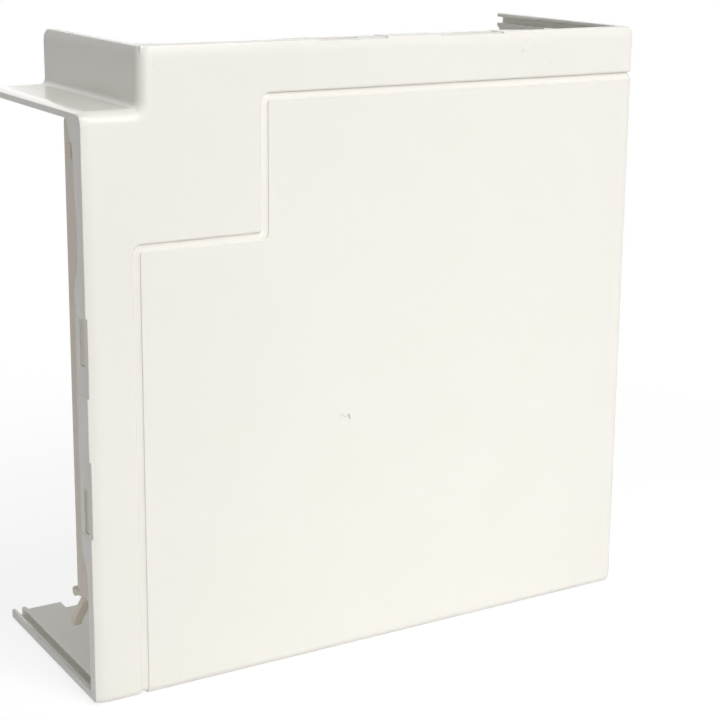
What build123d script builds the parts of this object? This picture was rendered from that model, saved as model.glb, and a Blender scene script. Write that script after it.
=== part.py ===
from build123d import *
import os

# A flat corner for wall trunking: a hood open at the back, with one mouth to the left and one on top.
# It is the same either side of its diagonal. All sizes are in millimetres.
# x runs right from the left mouth, y runs back from the front face, t runs down from the top mouth.

# The trunking that both mouths take, and the play left around it
trunking_width = 170.0
trunking_depth = 70.0
fit_clearance = 0.4

# Moulded walls and the way each mouth reaches past the inner corner
wall = 2.6
end_leg = 17.4

# Rounding of the outer edges
front_edge_radius = 2.4
outer_corner_radius = 2.6
inner_front_radius = 4.0
inner_corner_radius = 2.0
free_corner_radius = 2.5
inside_edge_radius = 0.8

# Soft fall of the outer faces towards each mouth, and the rounding of the mouth's edge itself
mouth_fall_run = 2.3
mouth_fall_drop = 0.8
mouth_fall_blend = 8.0
mouth_edge_radius = 0.35

# Edge of the frame where it meets the cover, with the fine gap between them
seam_offset = 14.9
seam_step = 56.1
seam_outer_radius = 2.6
seam_inner_radius = 0.9
seam_gap = 0.1
seam_shoulder_radius = 0.9
lap = 2.0
lap_depth = 1.75
lap_clearance = 0.1
cover_setback = 5.0

# Sunk reveal around the cover: a step down, then a slope that deepens towards the frame
reveal_width = 2.0
reveal_step = 0.45
reveal_depth = 1.1
reveal_round = 0.2
reveal_inner_radius = 1.9
reveal_outer_radius = 1.1

# Rim of each mouth: lip, groove and ridge on the outer wall
lip_width = 1.3
lip_height = 3.6
lip_round = 0.4
groove_end = 3.4
groove_floor = 1.2
ridge_width = 1.1

# Flange of each mouth on the front wall, measured back from the front face
flange_inner_depth = 5.4
flange_bulge_depth = 8.7
flange_outer_depth = 4.6
flange_gusset_depth = 10.0
bulge_offset = 1.5
bulge_foot_length = 97.0
bulge_top_length = 72.0

# Edge of the flange's gusset: distance from the shelf, and depth behind the front face
gusset_edge = ((4.2, 9.2), (6.6, 7.7), (11.5, 6.8), (19.1, 6.5), (26.5, 5.4))

# Windows in the flange, each in a shallow recess whose front strip slopes back
window_offset = 3.0
window_pitch = 50.8
window_length = 13.6
window_depth = 3.3
recess_pitch = 42.6
recess_length = 23.6
recess_sink = 0.15
recess_slope = 0.2

# Coupling bracket behind the flange
bracket_play = 0.15
bracket_depth = 13.9
bracket_round = 1.5
bracket_end_play = 0.3
claw_from_outer = 31.9
claw_width = 3.0
tab_play = 0.15
tab_sink = 0.2
key_length = 4.6
key_width = 1.2
key_height = 0.5
key_from_shelf = 7.2
key_depth = 9.0

# Both claws, drawn along the bracket and back from the front wall: the upper arm from root to tip,
# and the outline of the slanting lower one
upper_arm_root = (0.6, 6.6)
upper_arm_tip = (2.5, 17.2)
upper_arm_width = 1.6
nose_radius = 1.5
barb_outline = ((0.8, 10.4), (11.4, 19.8), (13.2, 22.0), (15.0, 19.4), (12.8, 18.2), (0.6, 7.6))
claw_round = 0.5
claw_edge_round = 0.35

# Snap hooks that hold the cover to the frame
hook_length = 12.0
hook_thickness = 1.6
hook_reach = 2.4
hook_play = 0.15
hook_near_step = 22.0
hook_near_outer = 30.0

# Worked-out sizes
side = end_leg + wall + trunking_width + 2 * fit_clearance + lip_height
depth = wall + fit_clearance + trunking_depth
shelf_inner = end_leg + wall
bulge_centre = (end_leg + side) / 2 + bulge_offset
window_centre = (end_leg + side) / 2 + window_offset
bracket_front = lip_width + bracket_play
tab_height = bracket_front - recess_sink - tab_sink
bracket_thickness = groove_end - lip_width - 2 * bracket_play
bracket_end = side - claw_from_outer
overrun = 10.0
touch = 0.001

# Drawing planes: front draws (x, t) and grows back, end draws (t, y) and grows right
front = Plane(origin=(0, 0, side), x_dir=(1, 0, 0), z_dir=(0, 1, 0))
end = Plane(origin=(0, 0, side), x_dir=(0, 0, -1), z_dir=(1, 0, 0))
diagonal = Plane(origin=(0, 0, side), z_dir=(1, 0, 1))


def outline(inset, past_mouths):
    """Corner seen from the front, drawn inset from its outer faces and run on past the mouths."""
    near = end_leg + inset
    far = side - inset
    start = -past_mouths
    points = [(near, start), (far, start), (far, far), (start, far), (start, near), (near, near)]
    shape = Polygon(*points, align=None)
    notch = shape.vertices().sort_by_distance((near, near, 0))[0]
    shape = fillet(notch, inner_corner_radius + inset)
    corner = shape.vertices().sort_by_distance((far, far, 0))[0]
    return fillet(corner, max(outer_corner_radius - inset, inside_edge_radius))


def cover_zone(inset):
    """Front area of the cover, drawn inset from the edge of the frame."""
    near = seam_offset + inset
    step = seam_step + inset
    far = side + overrun
    points = [(step, near), (far, near), (far, far), (near, far), (near, step), (step, step)]
    shape = Polygon(*points, align=None)
    inner = shape.vertices().sort_by_distance((step, step, 0))[0]
    shape = fillet(inner, min(seam_inner_radius + inset, reveal_inner_radius))
    outer = shape.vertices().sort_by_distance((step, near, 0))[0:1]
    outer += shape.vertices().sort_by_distance((near, step, 0))[0:1]
    return fillet(outer, max(seam_outer_radius - inset, reveal_outer_radius))


def block(shape, start, stop):
    """A front-drawn shape made solid between two depths."""
    return extrude(front.offset(start) * shape, amount=stop - start, dir=front.z_dir)


def slab(shape, start, stop):
    """An end-drawn shape made solid between two distances from the left mouth."""
    return extrude(end.offset(start) * shape, amount=stop - start, dir=end.z_dir)


def both_mouths(solid):
    """A feature of the left mouth together with the same feature of the top mouth."""
    return solid + mirror(solid, about=diagonal)


def lies_on(edge, shape):
    """True where an edge runs along a surface of the shape."""
    return all(shape.distance_to(edge.position_at(u)) < touch for u in (0.2, 0.5, 0.8))


def front_edges(solid, inset, past_mouths, in_notch):
    """Edges of the front face, in the notch or away from it, without the two that close the mouths."""
    chosen = []
    for edge in solid.edges().filter_by_position(Axis.Y, inset - touch, inset + touch):
        x = edge.center().X
        t = side - edge.center().Z
        closes_mouth = min(x, t) < touch - past_mouths
        near_notch = max(x, t) < end_leg + inset + touch
        if not closes_mouth and near_notch == in_notch:
            chosen.append(edge)
    return chosen


def body(inset, past_mouths, back):
    """Solid corner inset from its outer faces, with its front edges rounded, as deep as given."""
    solid = block(outline(inset, past_mouths), inset, back)
    outer_round = max(front_edge_radius - inset, inside_edge_radius)
    solid = fillet(front_edges(solid, inset, past_mouths, False), outer_round)
    return fillet(front_edges(solid, inset, past_mouths, True), inner_front_radius - inset)


def deeper_than(inset):
    """Everything deeper than a given distance under the outer faces, run on past the mouths and the back."""
    return body(inset, overrun, depth + overrun)


def outer_edges(solid, cavity, axis, place):
    """Edges of the hollow solid in one plane, without those of its inside and its open back."""
    return [
        e for e in solid.edges().filter_by_position(axis, place - touch, place + touch)
        if e.center().Y < depth - touch and not lies_on(e, cavity.shell())
    ]


def soften_mouth(solid, cavity, axis, place, inwards):
    """One mouth with its outer faces falling softly towards it, and its edge rounded."""
    end_face = solid.faces().filter_by_position(axis, place - touch, place + touch)[0]
    edges = outer_edges(solid, cavity, axis, place)
    solid = chamfer(edges, mouth_fall_drop, mouth_fall_run, reference=end_face)
    start_of_fall = outer_edges(solid, cavity, axis, place + inwards * mouth_fall_run)
    solid = fillet(start_of_fall, mouth_fall_blend)
    return fillet(outer_edges(solid, cavity, axis, place), mouth_edge_radius)


def make_shell(blank):
    """The blank hollowed from the back, with its mouths softened and their free corners rounded."""
    cavity = deeper_than(wall)
    shell = soften_mouth(blank - cavity, cavity, Axis.X, 0, 1)
    shell = soften_mouth(shell, cavity, Axis.Z, side, -1)
    return shell - both_mouths(make_corner_cut())


def make_corner_cut():
    """What is cut from the shelf's free corner at the left mouth to round it."""
    round_centre = Pos(free_corner_radius, depth - free_corner_radius)
    square = round_centre * Rectangle(
        free_corner_radius + overrun, free_corner_radius + overrun, align=(Align.MAX, Align.MIN)
    )
    plane = Plane(origin=(0, 0, side - shelf_inner - overrun), z_dir=(0, 0, 1))
    section = square - round_centre * Circle(free_corner_radius)
    return extrude(plane * section, amount=shelf_inner + overrun, dir=plane.z_dir)


def cover_block(inset):
    """The front area of the cover, run through the whole depth."""
    return block(cover_zone(inset), -overrun, depth + overrun)


def shared_edges(solid, first, second):
    """Edges of a solid that run along the surfaces of two other solids, without those at the open back."""
    return [
        e for e in solid.edges()
        if e.center().Y < depth - touch and lies_on(e, first.shell()) and lies_on(e, second.shell())
    ]


def make_mouth_rim():
    """Lip, groove wall and flange of the left mouth, drawn on the end and grown inwards."""
    lip = make_polygon(
        (side - lip_height, wall / 2), (side - wall / 2, wall / 2),
        (side - wall / 2, depth), (side - lip_height, depth),
    )
    rim = slab(flange_shape() + lip, 0, lip_width)
    tips = rim.edges().filter_by(Axis.Y).filter_by_position(Axis.Z, lip_height - touch, lip_height + touch)
    return fillet(tips, lip_round)


def make_polygon(*points):
    """A polygon drawn where its points say."""
    return Polygon(*points, align=None)


def flange_shape():
    """Flange on the front wall: a gusset at the shelf, a raised middle and a low outer run."""
    root = wall / 2
    start = shelf_inner - wall / 2
    stop = side - wall / 2
    foot_start = bulge_centre - bulge_foot_length / 2
    foot_stop = bulge_centre + bulge_foot_length / 2
    top_start = bulge_centre - bulge_top_length / 2
    top_stop = bulge_centre + bulge_top_length / 2
    corner = (shelf_inner, flange_gusset_depth)
    level = ((1, 0), (1, 0))
    gusset = Spline(corner, *[(shelf_inner + away, deep) for away, deep in gusset_edge])
    rise = Spline((foot_start, flange_inner_depth), (top_start, flange_bulge_depth), tangents=level)
    fall = Spline((top_stop, flange_bulge_depth), (foot_stop, flange_outer_depth), tangents=level)
    edges = [
        Polyline((start, root), (start, flange_gusset_depth), corner),
        gusset,
        Line(gusset @ 1, (foot_start, flange_inner_depth)),
        rise,
        Line((top_start, flange_bulge_depth), (top_stop, flange_bulge_depth)),
        fall,
        Polyline((foot_stop, flange_outer_depth), (stop, flange_outer_depth), (stop, root), (start, root)),
    ]
    return make_face(Curve() + edges)


def make_frame(shell, blank):
    """Inner corner frame: front band, shelf, upright plate and the stubs of both outer walls."""
    zone = cover_block(0)
    frame = shell - zone
    frame = fillet(shared_edges(frame, zone, blank), seam_shoulder_radius)
    ledge = (shell & deeper_than(lap_depth + lap_clearance)) - cover_block(lap)
    frame = frame + ledge + both_mouths(make_mouth_rim() + make_ridge())
    return frame - both_mouths(make_mouth_cuts())


def make_ridge():
    """Ridge behind the groove, along the front wall and the outer wall of the left mouth."""
    top = groove_end + ridge_width
    foot = top + lip_height - wall
    profile = make_polygon(
        (groove_end, side - wall / 2), (groove_end, side - lip_height), (top, side - lip_height),
        (foot, side - wall), (foot, side - wall / 2),
    )
    along_wall = block(profile, wall / 2, depth)
    along_front = slab(
        make_polygon(
            (shelf_inner - wall / 2, wall / 2), (side - wall / 2, wall / 2),
            (side - wall / 2, flange_outer_depth), (shelf_inner - wall / 2, flange_outer_depth),
        ),
        groove_end, top,
    )
    return along_wall + along_front


def make_mouth_cuts():
    """What is cut from the left mouth: the groove, the windows and their recesses."""
    groove = block(
        make_polygon(
            (lip_width, side - groove_floor), (groove_end, side - groove_floor),
            (groove_end, side - wall - touch), (lip_width, side - wall - touch),
        ),
        wall, depth + overrun,
    )
    cuts = groove
    for way in (-1, 1):
        window = Pos(window_centre + way * window_pitch / 2, wall + window_depth / 2) * Rectangle(
            window_length, window_depth
        )
        cuts += slab(window, -overrun, groove_end)
        cuts += make_recess(window_centre + way * recess_pitch / 2)
    return cuts


def make_recess(t_middle):
    """Shallow recess in the end face of the mouth; its strip in front of the window slopes back."""
    low = recess_sink - overrun
    high = recess_sink + recess_slope * (wall + overrun)
    section = make_polygon(
        (low, -overrun), (high, -overrun), (recess_sink, wall), (recess_sink, depth / 2), (low, depth / 2)
    )
    plane = Plane(origin=(0, 0, side - t_middle - recess_length / 2), z_dir=(0, 0, 1))
    return extrude(plane * section, amount=recess_length, dir=plane.z_dir)


def limb(root, tip, width):
    """A straight stroke of one width between two points, with a round tip."""
    line = Line(root, tip)
    middle = line.position_at(0.5)
    angle = line.tangent_angle_at(0.5)
    return Pos(middle.X, middle.Y) * Rot(0, 0, angle) * SlotCenterToCenter(line.length, width)


def claw_shape():
    """Both claws seen along the arm: a round-nosed upper one and a slanting barbed lower one."""
    upper = limb(upper_arm_root, upper_arm_tip, upper_arm_width)
    upper += Pos(*upper_arm_tip) * Circle(nose_radius)
    lower = make_polygon(*barb_outline)
    return Pos(bracket_end, wall) * (upper + fillet(lower.vertices(), claw_round))


def make_bracket():
    """Coupling bracket of the left mouth: a plate behind the flange with claws at its outer end."""
    start = shelf_inner + bracket_end_play
    stop = bracket_end + upper_arm_width
    rear = wall + bracket_depth
    plate = make_polygon(
        (start, wall), (stop, wall), (stop, wall + upper_arm_root[1]), (bracket_end, rear), (start, rear),
    )
    shelf_corners = plate.vertices().filter_by_position(Axis.X, start - touch, start + touch)
    bracket = slab(fillet(shelf_corners, bracket_round), bracket_front, bracket_front + bracket_thickness)
    claws = slab(claw_shape(), bracket_front, bracket_front + claw_width)
    near_edges = claws.edges().filter_by_position(Axis.X, bracket_front - touch, bracket_front + touch)
    bracket += fillet(near_edges, claw_edge_round)
    for way in (-1, 1):
        tab = Pos(window_centre + way * window_pitch / 2, wall + window_depth / 2) * Rectangle(
            window_length - 2 * tab_play, window_depth - 2 * tab_play
        )
        bracket += slab(tab, bracket_front - tab_height, bracket_front)
    key = Pos(shelf_inner + key_from_shelf + key_length / 2, wall + key_depth) * SlotOverall(
        key_length, key_width
    )
    return bracket + slab(key, bracket_front - key_height, bracket_front)


def make_hook(t_start):
    """One snap hook on the back of the cover, reaching under the edge of the frame."""
    stem = seam_offset + lap + hook_play
    tip = seam_offset + lap - hook_reach
    under = wall + hook_play
    over = under + hook_thickness
    section = make_polygon(
        (stem, wall / 2), (stem + hook_thickness, wall / 2), (stem + hook_thickness, over),
        (tip + hook_thickness / 2, over), (tip, under + hook_thickness / 2), (tip, under), (stem, under),
    )
    plane = Plane(origin=(0, 0, side - t_start - hook_length), z_dir=(0, 0, 1))
    return extrude(plane * section, amount=hook_length, dir=plane.z_dir)


def slope_reveal(cover, zone, sunk):
    """Chamfer the floor of the reveal down towards the frame, over the front and onto both outer walls."""
    flat = cover.faces().filter_by(Plane.XZ)
    floor = flat.filter_by_position(Axis.Y, reveal_step - touch, reveal_step + touch)[0]
    rim = [e for e in shared_edges(cover, zone, sunk) if e in floor.edges()]
    run = reveal_width - seam_gap - reveal_round
    return chamfer(rim, run, reveal_depth - reveal_step, reference=floor)


def make_cover(shell, blank):
    """Outer cover: stepped front panel with the rest of both outer walls, and its snap hooks."""
    zone = cover_block(seam_gap)
    field = cover_block(reveal_width)
    sunk = deeper_than(reveal_step)
    cover = (shell & zone) - (deeper_than(lap_depth) - cover_block(lap + seam_gap))
    reveal = (cover - field) & sunk
    cover = (cover & field) + reveal
    cover = slope_reveal(cover, zone, sunk)
    cover = fillet(shared_edges(cover, field, blank), reveal_round)
    cover -= Pos(side / 2, depth - cover_setback + overrun / 2, side / 2) * Box(
        side + overrun, overrun, side + overrun
    )
    hooks = make_hook(seam_step + hook_near_step) + make_hook(side - hook_near_outer - hook_length)
    return cover + both_mouths(hooks)


blank = body(0, 0, depth)
shell = make_shell(blank)
left_bracket = make_bracket()
pieces = {
    "inner_corner_frame": make_frame(shell, blank),
    "outer_cover": make_cover(shell, blank),
    "left_coupling_bracket": left_bracket,
    "top_coupling_bracket": mirror(left_bracket, about=diagonal),
}

# The origin is under the middle of the corner as it stands on its bottom wall
os.makedirs("parts", exist_ok=True)
for name, solid in pieces.items():
    placed = Pos(-side / 2, -depth / 2, 0) * solid
    export_step(placed, f"parts/{name}.step")
    print(name, len(placed.solids()), round(placed.volume, 1), placed.bounding_box().size)
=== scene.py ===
import math

import bmesh
import bpy
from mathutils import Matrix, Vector


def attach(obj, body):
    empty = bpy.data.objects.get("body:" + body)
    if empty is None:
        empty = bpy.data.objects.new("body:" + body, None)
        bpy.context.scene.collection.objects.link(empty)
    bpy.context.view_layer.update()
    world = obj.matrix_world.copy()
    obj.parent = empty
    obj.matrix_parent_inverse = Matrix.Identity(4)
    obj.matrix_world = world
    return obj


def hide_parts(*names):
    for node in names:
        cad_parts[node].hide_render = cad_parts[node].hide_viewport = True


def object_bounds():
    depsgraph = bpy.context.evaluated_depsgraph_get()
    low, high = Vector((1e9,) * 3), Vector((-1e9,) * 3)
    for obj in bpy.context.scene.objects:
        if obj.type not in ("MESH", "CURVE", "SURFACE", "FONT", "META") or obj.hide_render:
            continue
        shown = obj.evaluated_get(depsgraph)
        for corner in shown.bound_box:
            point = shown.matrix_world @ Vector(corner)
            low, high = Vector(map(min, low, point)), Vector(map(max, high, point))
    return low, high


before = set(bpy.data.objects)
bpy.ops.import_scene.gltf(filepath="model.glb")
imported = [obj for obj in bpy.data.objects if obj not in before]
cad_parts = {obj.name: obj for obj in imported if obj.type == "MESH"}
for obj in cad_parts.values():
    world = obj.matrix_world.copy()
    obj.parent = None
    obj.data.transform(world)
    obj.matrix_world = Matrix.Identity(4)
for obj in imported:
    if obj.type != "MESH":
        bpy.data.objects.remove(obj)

cad_low, cad_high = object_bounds()
MM = 0.001

# Camera at the photograph's angle: place in metres, turn in degrees, lens and sensor in millimetres.
# The photograph's framing asks for more shift, but then other views would lose the object's top.
CAMERA_PLACE = (-0.2716, -0.4764, 0.2362)
CAMERA_TURN = (77.02, -0.50, -30.87)
LENS = 85.54
SENSOR_WIDTH = 36.0
SHIFT = -0.1

# Linear colours of the mouldings, with painted shade in the brackets' one, and of the dirt on them
HOOD_COLOUR = (0.872, 0.851, 0.794)
HOOD_SHADE = (0.852, 0.829, 0.764)
# The brackets' colour is browner and darker than the hood's: partly their own beige, partly painted shade
# of the recess behind the front wall
BRACKET_SHADED_COLOUR = (0.800, 0.722, 0.618)
SPECK_COLOUR = (0.230, 0.215, 0.190)
WHITE = (1.0, 1.0, 1.0)

# Patches in the plastic: faint clouds of colour, uneven gloss, slow waves and fine grain
CLOUD_SIZE = 30 * MM
GLOSS_SIZE = 18 * MM
WAVE_SIZE = 12 * MM
GRAIN_SIZE = 0.45 * MM
WAVE_OVER_GRAIN = 2.0
NOISE_MIDDLE = 0.5
ROUGHNESS_SPREAD = 0.06
PLASTIC_IOR = 1.5

# Pinholes of trapped dust, at the middle of some cells of a pattern: radii are shares of its spacing
PINHOLE_SPACING = 8 * MM
PINHOLE_SHARE = 0.6
PINHOLE_CORE = 0.012
PINHOLE_EDGE = 0.024
PINHOLE_TONE = 0.6

# Wear marks on the front face: (x, z) places and half widths in millimetres, then depth of tone
SCRATCHES = [
    ((-13.9, 77.0), (-13.7, 78.3), 0.10, 0.35),
    ((-13.7, 78.3), (-12.2, 77.2), 0.10, 0.35),
    ((-12.2, 77.2), (-11.1, 77.9), 0.12, 0.40),
    ((-11.1, 77.9), (-10.8, 76.5), 0.22, 0.70),
    ((52.8, 191.9), (53.3, 191.2), 0.09, 0.20),
    ((53.3, 191.2), (54.2, 192.3), 0.09, 0.20),
]
STAINS = [((51.8, 188.3), 0.75, 0.10), ((63.3, 183.8), 0.80, 0.05)]

# A mark fades from its core to its edge, both as shares of its half width
MARK_CORE = 0.6
SCRATCH_EDGE = 1.3
STAIN_EDGE = 1.2

# Marks lie along the front face and end this far behind it
ALONG_FRONT = (1.0, 0.0, 1.0)
MARKED_DEPTH = 1.2 * MM

# Meshes of the mouldings
MERGE_DISTANCE = 0.001 * MM
FLAT_ANGLE = math.radians(0.5)
SHARP_ANGLE = math.radians(32)
LARGE_FACES_LEAD = 100

# Floor: one colour lights the object, and a brighter one is seen. Its glow of plain white is weaker
# near the object, so that the shadow shows there.
FLOOR_RADIUS = 6.0
FLOOR_SIDES = 64
FLOOR_GAP = 0.02 * MM
FLOOR_COLOUR = (0.70, 0.70, 0.70)
FLOOR_SEEN_COLOUR = (1.30, 1.30, 1.30)
FLOOR_GLOW = 0.8
GLOW_RISE_START = 0.10
GLOW_RISE_END = 0.34

# Light level of the surroundings, against white at 1
WORLD_LEVEL = 0.225


class Socket:
    """A shader value that takes part in Python expressions."""

    def __init__(self, tree, link):
        self.tree = tree
        self.link = link

    def math(self, operation, other):
        """One step of maths on this value and another."""
        return node(self.tree, "ShaderNodeMath", {"operation": operation}, [self, other])

    def __add__(self, other):
        return self.math("ADD", other)

    __radd__ = __add__

    def __sub__(self, other):
        return self.math("SUBTRACT", other)

    def __rsub__(self, other):
        return node(self.tree, "ShaderNodeMath", {"operation": "SUBTRACT"}, [other, self])

    def __mul__(self, other):
        return self.math("MULTIPLY", other)

    __rmul__ = __mul__

    def over(self, limit):
        """1 where the value is over the limit, else 0."""
        return self.math("GREATER_THAN", limit)

    def under(self, limit):
        """1 where the value is under the limit, else 0."""
        return self.math("LESS_THAN", limit)

    def ramp(self, low, high):
        """0 at low, 1 at high, with a soft rise between."""
        settings = {"interpolation_type": "SMOOTHSTEP"}
        values = {"Value": self, "From Min": low, "From Max": high}
        return node(self.tree, "ShaderNodeMapRange", settings, values)


def node(tree, kind, settings=None, values=(), output=0):
    """One new node of a tree: its settings first, then the values or links of its sockets."""
    made = tree.nodes.new(kind)
    for name, setting in (settings or {}).items():
        setattr(made, name, setting)
    pairs = values.items() if isinstance(values, dict) else enumerate(values)
    for key, value in pairs:
        socket = made.inputs[key]
        if isinstance(value, Socket):
            tree.links.new(value.link, socket)
        elif isinstance(value, tuple) and len(value) == 3 and len(socket.default_value) == 4:
            socket.default_value = (*value, 1.0)
        else:
            socket.default_value = value
    return Socket(tree, made.outputs[output])


def vector_math(tree, operation, values, output="Vector"):
    """One step of maths on vectors."""
    return node(tree, "ShaderNodeVectorMath", {"operation": operation}, values, output)


def mix_colour(tree, factor, first, second):
    """Colour between two colours."""
    settings = {"data_type": "RGBA"}
    return node(tree, "ShaderNodeMix", settings, {"Factor": factor, "A": first, "B": second}, "Result")


def noise(tree, place, size, detail):
    """Cloudy value around its middle, with patches of about the given size in metres."""
    return node(tree, "ShaderNodeTexNoise", None, {"Vector": place, "Scale": 1.0 / size, "Detail": detail})


def object_place(tree):
    """Place on the object in its own frame, in metres."""
    return node(tree, "ShaderNodeTexCoord", output="Object")


def new_material(name):
    """A new material and its empty node tree."""
    material = bpy.data.materials.new(name)
    material.use_nodes = True
    tree = material.node_tree
    tree.nodes.clear()
    return material, tree


def join_output(tree, kind, shader):
    """Join a shader to a new output node of the tree."""
    end = tree.nodes.new(kind)
    tree.links.new(shader.link, end.inputs["Surface"])


def front_point(spot):
    """The (x, z) place of a mark as a vector in metres."""
    return Vector((spot[0] * MM, 0.0, spot[1] * MM))


def offset_from(tree, place, spot):
    """Offset from the (x, z) place of a mark, along the front face."""
    flat = vector_math(tree, "MULTIPLY", [place, ALONG_FRONT])
    return vector_math(tree, "SUBTRACT", [flat, front_point(spot)])


def scratch(tree, place, start, end, half_width):
    """1 along a short scratch of the front face, 0 away from it."""
    run = front_point(end) - front_point(start)
    offset = offset_from(tree, place, start)
    share = vector_math(tree, "DOT_PRODUCT", [offset, run], "Value") * (1.0 / run.length_squared)
    share = share.math("MAXIMUM", 0.0).math("MINIMUM", 1.0)
    nearest = vector_math(tree, "SCALE", {0: run, "Scale": share})
    distance = vector_math(tree, "DISTANCE", [offset, nearest], "Value")
    return 1.0 - distance.ramp(MARK_CORE * half_width * MM, SCRATCH_EDGE * half_width * MM)


def stain(tree, place, middle, radius):
    """1 inside a soft round stain of the front face, 0 outside it."""
    distance = vector_math(tree, "LENGTH", [offset_from(tree, place, middle)], "Value")
    return 1.0 - distance.ramp(MARK_CORE * radius * MM, STAIN_EDGE * radius * MM)


def wear_marks(tree, place, tint):
    """The scratches and stains that the front face carries, over its colour."""
    depth_place = node(tree, "ShaderNodeSeparateXYZ", None, [place], "Y")
    front = depth_place.under(cad_low.y + MARKED_DEPTH)
    for start, end, half_width, tone in SCRATCHES:
        mark = scratch(tree, place, start, end, half_width) * front
        tint = mix_colour(tree, mark * tone, tint, SPECK_COLOUR)
    for middle, radius, tone in STAINS:
        mark = stain(tree, place, middle, radius) * front
        tint = mix_colour(tree, mark * tone, tint, SPECK_COLOUR)
    return tint


def dust_pinholes(tree, place, tint):
    """Pinholes of trapped dust, here and there, some darker than others."""
    pattern = {"Vector": place, "Scale": 1.0 / PINHOLE_SPACING}
    distance = node(tree, "ShaderNodeTexVoronoi", None, pattern, "Distance")
    cell_colour = node(tree, "ShaderNodeTexVoronoi", None, pattern, "Color")
    chance = node(tree, "ShaderNodeSeparateColor", None, [cell_colour], "Red")
    speck = (1.0 - distance.ramp(PINHOLE_CORE, PINHOLE_EDGE)) * chance.over(1.0 - PINHOLE_SHARE)
    return mix_colour(tree, speck * chance * PINHOLE_TONE, tint, SPECK_COLOUR)


def moulded_plastic(name, colour, shade, roughness, grain_depth, worn):
    """Satin moulded plastic: faint clouding, fine grain, a few pinholes and, where worn, its marks."""
    material, tree = new_material(name)
    place = object_place(tree)
    cloud = noise(tree, place, CLOUD_SIZE, detail=3.0)
    tint = mix_colour(tree, cloud, colour, shade)
    tint = dust_pinholes(tree, place, tint)
    if worn:
        tint = wear_marks(tree, place, tint)
    grain = noise(tree, place, GRAIN_SIZE, detail=1.0)
    wave = noise(tree, place, WAVE_SIZE, detail=2.0)
    height = grain + wave * WAVE_OVER_GRAIN
    bump = node(tree, "ShaderNodeBump", None, {"Strength": 1.0, "Distance": grain_depth, "Height": height})
    gloss = (noise(tree, place, GLOSS_SIZE, detail=3.0) - NOISE_MIDDLE) * ROUGHNESS_SPREAD + roughness
    shader = node(tree, "ShaderNodeBsdfPrincipled", None, {
        "Base Color": tint,
        "Roughness": gloss,
        "Normal": bump,
        "IOR": PLASTIC_IOR,
    })
    join_output(tree, "ShaderNodeOutputMaterial", shader)
    return material


def moulding(name, piece_name, material):
    """A smooth-shaded copy of a CAD node that stands for it."""
    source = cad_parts[name]
    mesh = source.data.copy()
    mesh.name = piece_name
    shape = bmesh.new()
    shape.from_mesh(mesh)
    bmesh.ops.remove_doubles(shape, verts=shape.verts, dist=MERGE_DISTANCE)
    bmesh.ops.dissolve_limit(shape, angle_limit=FLAT_ANGLE, verts=shape.verts, edges=shape.edges)
    shape.to_mesh(mesh)
    shape.free()
    mesh.materials.clear()
    mesh.materials.append(material)
    mesh.shade_smooth()
    mesh.set_sharp_from_angle(angle=SHARP_ANGLE)
    piece = bpy.data.objects.new(piece_name, mesh)
    bpy.context.scene.collection.objects.link(piece)
    weighted = piece.modifiers.new("face_weighted_normals", "WEIGHTED_NORMAL")
    weighted.mode = "FACE_AREA"
    weighted.weight = LARGE_FACES_LEAD
    weighted.keep_sharp = True
    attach(piece, "root")
    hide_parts(name)


def light_is_seen(tree):
    """1 for the rays that show a surface: camera, glossy and transmission rays."""
    rays = ("Is Camera Ray", "Is Glossy Ray", "Is Transmission Ray")
    camera, glossy, through = [node(tree, "ShaderNodeLightPath", output=ray) for ray in rays]
    return camera.math("MAXIMUM", glossy).math("MAXIMUM", through)


def make_floor():
    """Plain pale floor: white where it is seen, darker only in the shadow of the object."""
    shape = bmesh.new()
    bmesh.ops.create_circle(shape, cap_ends=True, radius=FLOOR_RADIUS, segments=FLOOR_SIDES)
    mesh = bpy.data.meshes.new("floor")
    shape.to_mesh(mesh)
    shape.free()
    floor = bpy.data.objects.new("floor", mesh)
    bpy.context.scene.collection.objects.link(floor)
    floor.location = (0, 0, cad_low.z - FLOOR_GAP)
    material, tree = new_material("floor_white")
    seen = light_is_seen(tree)
    colour = mix_colour(tree, seen, FLOOR_COLOUR, FLOOR_SEEN_COLOUR)
    diffuse = node(tree, "ShaderNodeBsdfDiffuse", None, {"Color": colour})
    glow = node(tree, "ShaderNodeEmission", None, {"Color": WHITE, "Strength": 1.0})
    distance = vector_math(tree, "LENGTH", [object_place(tree)], "Value")
    rise = distance.ramp(GLOW_RISE_START, GLOW_RISE_END)
    glow_share = (rise * (1.0 - FLOOR_GLOW) + FLOOR_GLOW) * seen
    surface = node(tree, "ShaderNodeMixShader", None, [glow_share, diffuse, glow])
    join_output(tree, "ShaderNodeOutputMaterial", surface)
    mesh.materials.append(material)


def make_world():
    """Surroundings of one even, low level, which are white where they are seen."""
    world = bpy.data.worlds.new("studio")
    bpy.context.scene.world = world
    world.use_nodes = True
    tree = world.node_tree
    tree.nodes.clear()
    strength = light_is_seen(tree) * (1.0 - WORLD_LEVEL) + WORLD_LEVEL
    glow = node(tree, "ShaderNodeBackground", None, {"Color": WHITE, "Strength": strength})
    join_output(tree, "ShaderNodeOutputWorld", glow)


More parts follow.
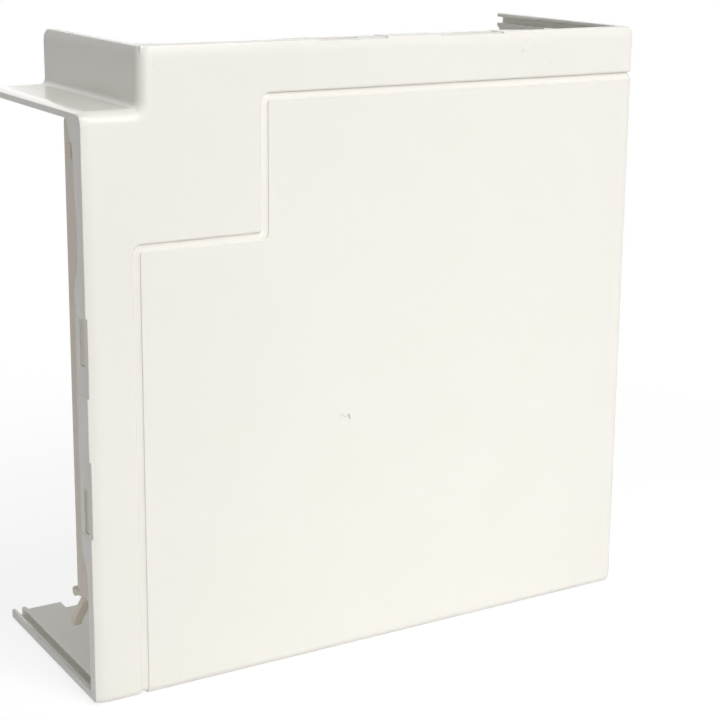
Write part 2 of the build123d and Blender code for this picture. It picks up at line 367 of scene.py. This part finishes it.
def softbox(name, place, target, size, power, spread=180):
    """A square area lamp that faces a point: metres, watts and degrees."""
    data = bpy.data.lights.new(name, "AREA")
    data.shape = "SQUARE"
    data.size = size
    data.energy = power
    data.spread = math.radians(spread)
    lamp = bpy.data.objects.new(name, data)
    lamp.location = place
    lamp.rotation_euler = (Vector(target) - Vector(place)).to_track_quat("-Z", "Y").to_euler()
    bpy.context.scene.collection.objects.link(lamp)


def make_softboxes():
    """Key light from the front right, a large one from the front, and weak ones around."""
    middle = (cad_low + cad_high) / 2
    floor_in_front = (0.08, -0.20, 0.0)
    softbox("key_softbox", (0.42, -1.35, 1.15), middle, size=0.5, power=5.3)
    softbox("front_softbox", (-0.15, -0.98, 0.20), middle, size=1.0, power=5.0)
    softbox("low_softbox", (0.10, -0.50, 0.70), floor_in_front, size=0.4, power=0.5, spread=60)
    softbox("top_softbox", (-0.10, 0.05, 1.20), middle, size=0.6, power=1.1)
    softbox("back_softbox", (-0.05, 0.80, 0.40), middle, size=0.5, power=0.6)


def make_camera():
    """Camera at the photograph's angle."""
    data = bpy.data.cameras.new("camera")
    data.lens = LENS
    data.sensor_width = SENSOR_WIDTH
    data.shift_y = SHIFT
    camera = bpy.data.objects.new("camera", data)
    camera.location = CAMERA_PLACE
    camera.rotation_euler = [math.radians(angle) for angle in CAMERA_TURN]
    bpy.context.scene.collection.objects.link(camera)
    bpy.context.scene.camera = camera


hood_plastic = moulded_plastic(
    "hood_plastic", HOOD_COLOUR, HOOD_SHADE, roughness=0.22, grain_depth=0.002 * MM, worn=True,
)
# Bracket plastic: the hood's plastic drawn browner and darker, partly its own beige and partly painted
# shade of the recess it sits in
bracket_plastic = moulded_plastic(
    "bracket_plastic", BRACKET_SHADED_COLOUR, BRACKET_SHADED_COLOUR, roughness=0.40, grain_depth=0.004 * MM, worn=False,
)
moulding("inner_corner_frame", "frame_moulding", hood_plastic)
moulding("outer_cover", "cover_moulding", hood_plastic)
moulding("left_coupling_bracket", "left_bracket_moulding", bracket_plastic)
moulding("top_coupling_bracket", "top_bracket_moulding", bracket_plastic)

make_floor()
make_world()
make_softboxes()
make_camera()
bpy.context.scene.view_settings.view_transform = "Standard"
